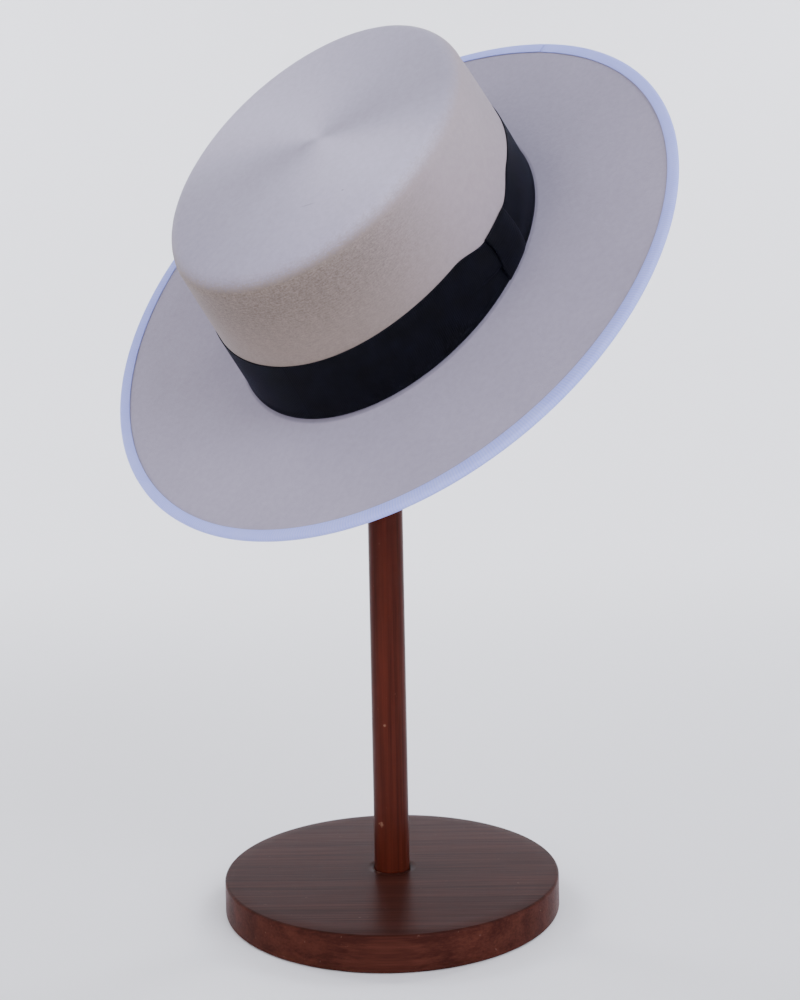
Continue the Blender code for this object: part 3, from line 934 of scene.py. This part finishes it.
def buildStand(baseFinish, postFinish):
    radius, thick, ease = stand["baseDiameter"] / 2, stand["baseThickness"], stand["baseEasing"]
    floor = thick - stand["socketDepth"]
    socket = stand["postDiameter"] / 2 + fitGap
    profile = [(0, floor), (socket, floor), (socket, thick - stand["socketChamfer"]),
               (socket + stand["socketChamfer"], thick)]
    inner, topRows = socket + stand["socketRim"], stand["topRows"]
    profile += [(inner + (radius - ease - inner) * step / topRows, thick)
                for step in range(topRows)]
    profile += arc((radius - ease, thick - ease), ease, 90, 0, stand["easingRows"])
    profile += [(radius, thick / 2)]
    profile += arc((radius - ease, ease), ease, 0, -90, stand["easingRows"])
    profile += [(radius * 0.5, 0), (0, 0)]
    base = spun(profile, stand["stations"])
    piece = makePiece("turnedBase", base, baseFinish, "stand_base")
    piece.data.set_sharp_from_angle(angle=stand["sharpAngle"])

    post = stand["postDiameter"] / 2
    foot = floor + fitGap
    top = stand["postTop"]
    shoulder, rows = top - post, stand["postRows"]
    profile = [(0, top)] + arc((0, shoulder), post, 90, 0, stand["endRows"])[1:]
    profile += [(post, shoulder - (shoulder - foot - stand["postEasing"]) * step / rows)
                for step in range(1, rows + 1)]
    profile += [(post - stand["postEasing"], foot), (0, foot)]
    dowel = spun(profile, stand["postStations"])
    piece = makePiece("turnedPost", dowel, postFinish, "stand_post")
    piece.data.set_sharp_from_angle(angle=stand["sharpAngle"])


studio = {
    "colour": "#f6f6f7",
    "rings": (0.0, 0.6, 1.6),
    "reach": 2.4, "bend": 1.0, "wallTop": 3.2,
    "below": 0.0002,  # it lies this far under the base
    "stations": 72,
}


def buildStage():
    # a pale floor that curves up into a wall all round, far from the hat
    reach, bend = studio["reach"], studio["bend"]
    profile = [(ring, 0) for ring in studio["rings"]] + arc((reach, bend), bend, -90, 0, 10)
    shape = spun(profile + [(reach + bend, studio["wallTop"])], studio["stations"])
    faceOut(shape, lambda middle: Vector((-middle.x, -middle.y, 1)))
    finish = newMaterial("paleStudioFloor", {
        "Base Color": linear(studio["colour"]), "Roughness": 0.9, "Specular IOR Level": 0.1})[0]
    mesh = bpy.data.meshes.new("studioFloor")
    shape.to_mesh(mesh)
    shape.free()
    mesh.materials.append(finish)
    mesh.shade_smooth()
    floor = bpy.data.objects.new("studioFloor", mesh)
    floor.location.z = -studio["below"]
    bpy.context.scene.collection.objects.link(floor)


light = {
    "surround": "#eef0f6", "surroundStrength": 0.93,
    "keyColour": "#eef1ff", "keyPower": 33.0, "keySize": 1.6, "keyPlace": (1.1, -1.6, 1.3),
    "fillColour": "#ffece2", "fillPower": 8.0, "fillSize": 1.4, "fillPlace": (-1.4, -1.4, 0.6),
    "backdropColour": "#f4f5ff", "backdropPower": 56.0, "backdropSize": 1.2,
    "backdropPlaces": ((-1.7, 1.3, 2.2), (1.7, 1.3, 2.2)),
    "backdropAim": (0, 3.2, 0.9),
    "hatAim": (0, 0, 0.28),
}


def areaLight(name, place, aim, size, power, colour):
    data = bpy.data.lights.new(name, "AREA")
    data.shape = "DISK"
    data.size = size
    data.energy = power
    data.color = linear(colour)[:3]
    lamp = bpy.data.objects.new(name, data)
    bpy.context.scene.collection.objects.link(lamp)
    lamp.location = place
    lamp.rotation_euler = (Vector(aim) - Vector(place)).to_track_quat("-Z", "Y").to_euler()


def buildLight():
    world = bpy.data.worlds.new("softSurround")
    world.use_nodes = True
    background = world.node_tree.nodes["Background"]
    background.inputs["Color"].default_value = linear(light["surround"])
    background.inputs["Strength"].default_value = light["surroundStrength"]
    bpy.context.scene.world = world
    areaLight("keyLight", light["keyPlace"], light["hatAim"], light["keySize"],
              light["keyPower"], light["keyColour"])
    areaLight("fillLight", light["fillPlace"], light["hatAim"], light["fillSize"],
              light["fillPower"], light["fillColour"])
    for number, place in enumerate(light["backdropPlaces"], 1):
        areaLight("backdropLight%d" % number, place, light["backdropAim"], light["backdropSize"],
                  light["backdropPower"], light["backdropColour"])


placeCamera()
buildStage()
buildLight()
print("camera, floor and light ready")

buildFelt(feltMaterial())
print("felt blocked")
bandRibbon = ribbonMaterial("blackGrosgrain", bandLook)
buildBand(bandRibbon)
buildKnot(bandRibbon)
print("band and knot wrapped")
buildBinding(ribbonMaterial("paleGrosgrain", bindingLook))
print("brim bound")
buildStand(woodMaterial("stainedWoodBase", baseLook), woodMaterial("stainedWoodPost", postLook))
print("stand turned")
